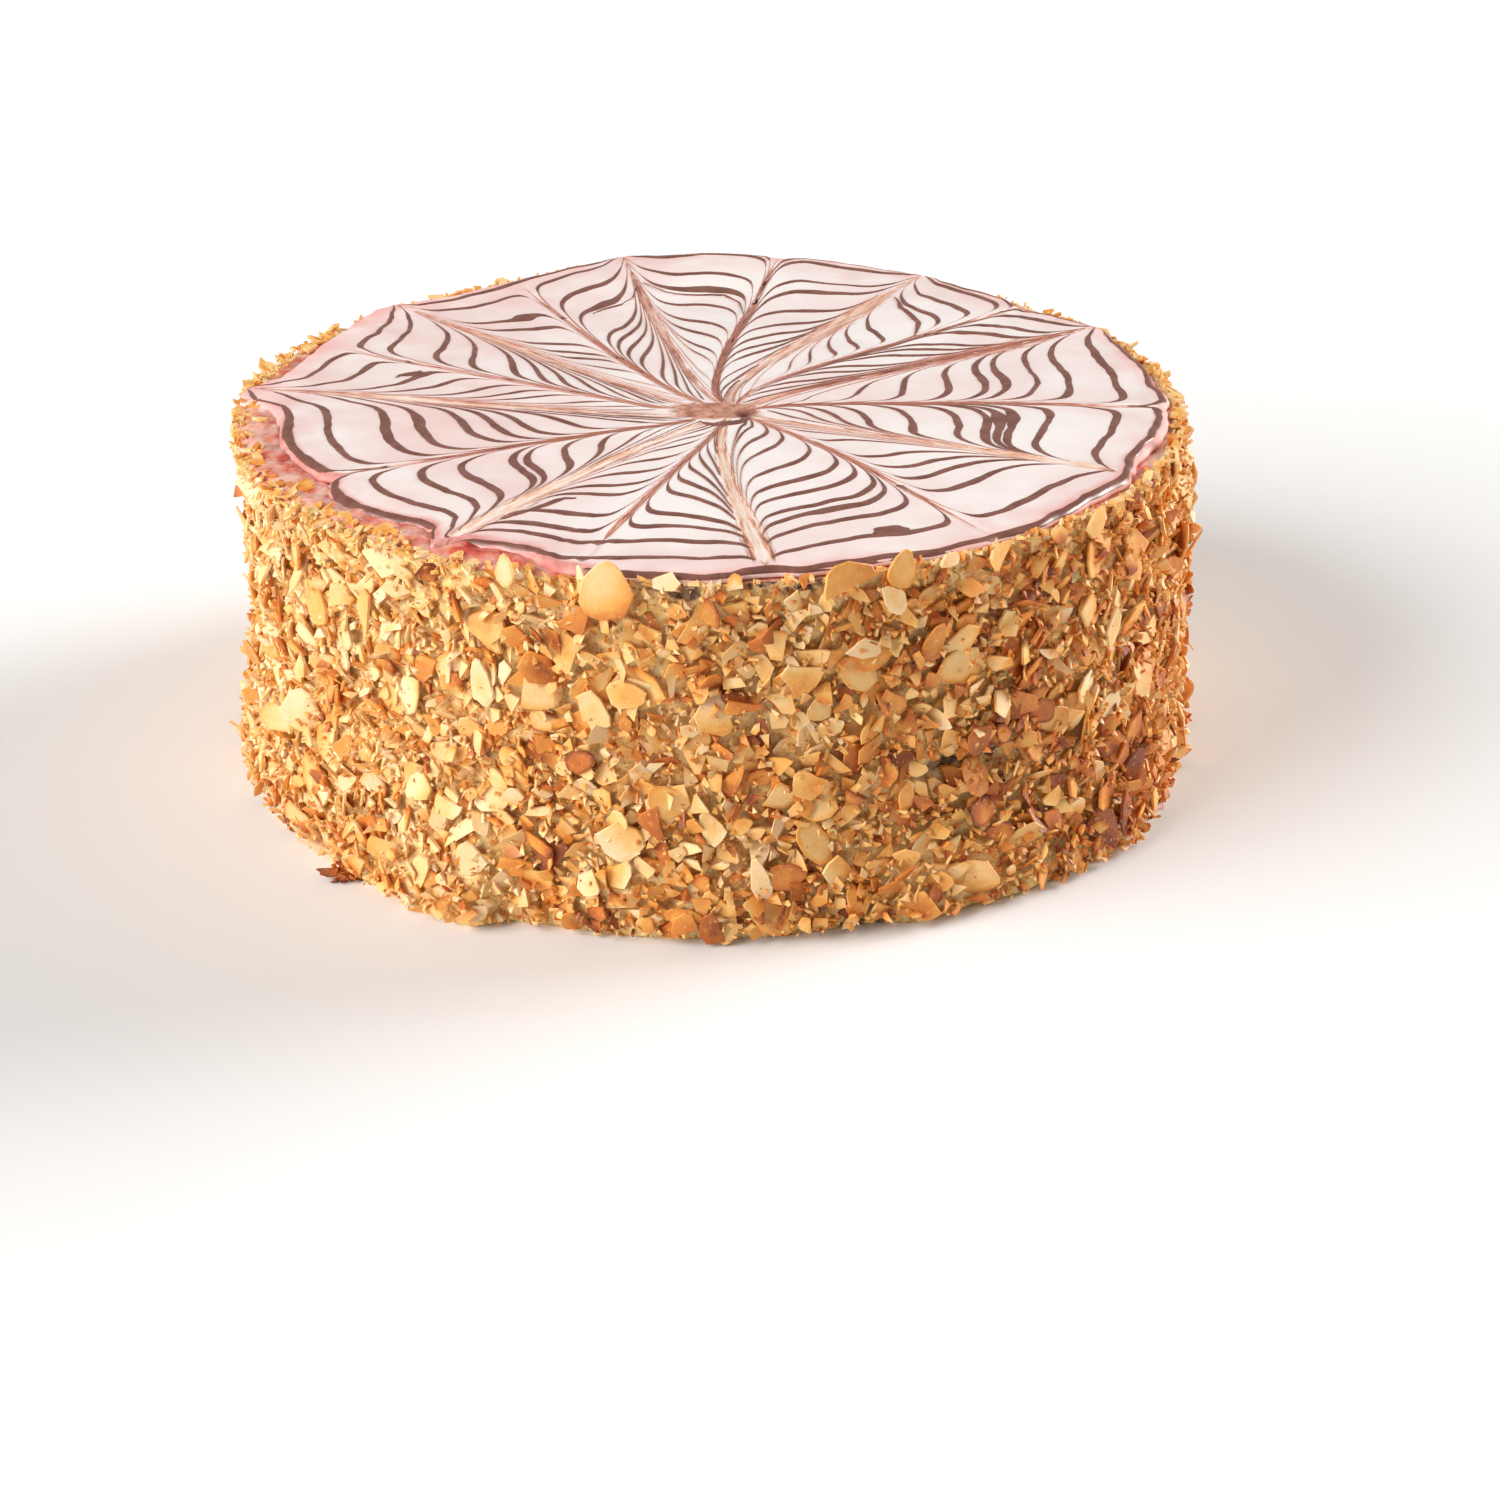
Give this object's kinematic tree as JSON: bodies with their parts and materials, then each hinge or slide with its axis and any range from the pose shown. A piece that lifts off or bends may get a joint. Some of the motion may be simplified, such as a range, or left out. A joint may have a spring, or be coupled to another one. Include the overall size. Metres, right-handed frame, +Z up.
{
  "type": "esterhazy torte",
  "caption": "Tall round layer torte coated with toasted sliced almonds, with a thin jam layer and a feathered web of piped rings on poured fondant.",
  "frame": {"origin": "centre of the flat base, on the surface the cake stands on", "axes": "+Z up, -Y towards the side the picture shows, +X to the right in the picture"},
  "size_m": [0.241, 0.2408, 0.0881],
  "materials": {
    "toasted_almond_coat": null,
    "red_jam": null,
    "pink_fondant": null,
    "chocolate_lines": null,
    "butter_cream": null
  },
  "bodies": {
    "root": {"cake_body": "toasted_almond_coat", "jam_glaze": "red_jam", "fondant_icing": "pink_fondant"}
  },
  "joints": []
}
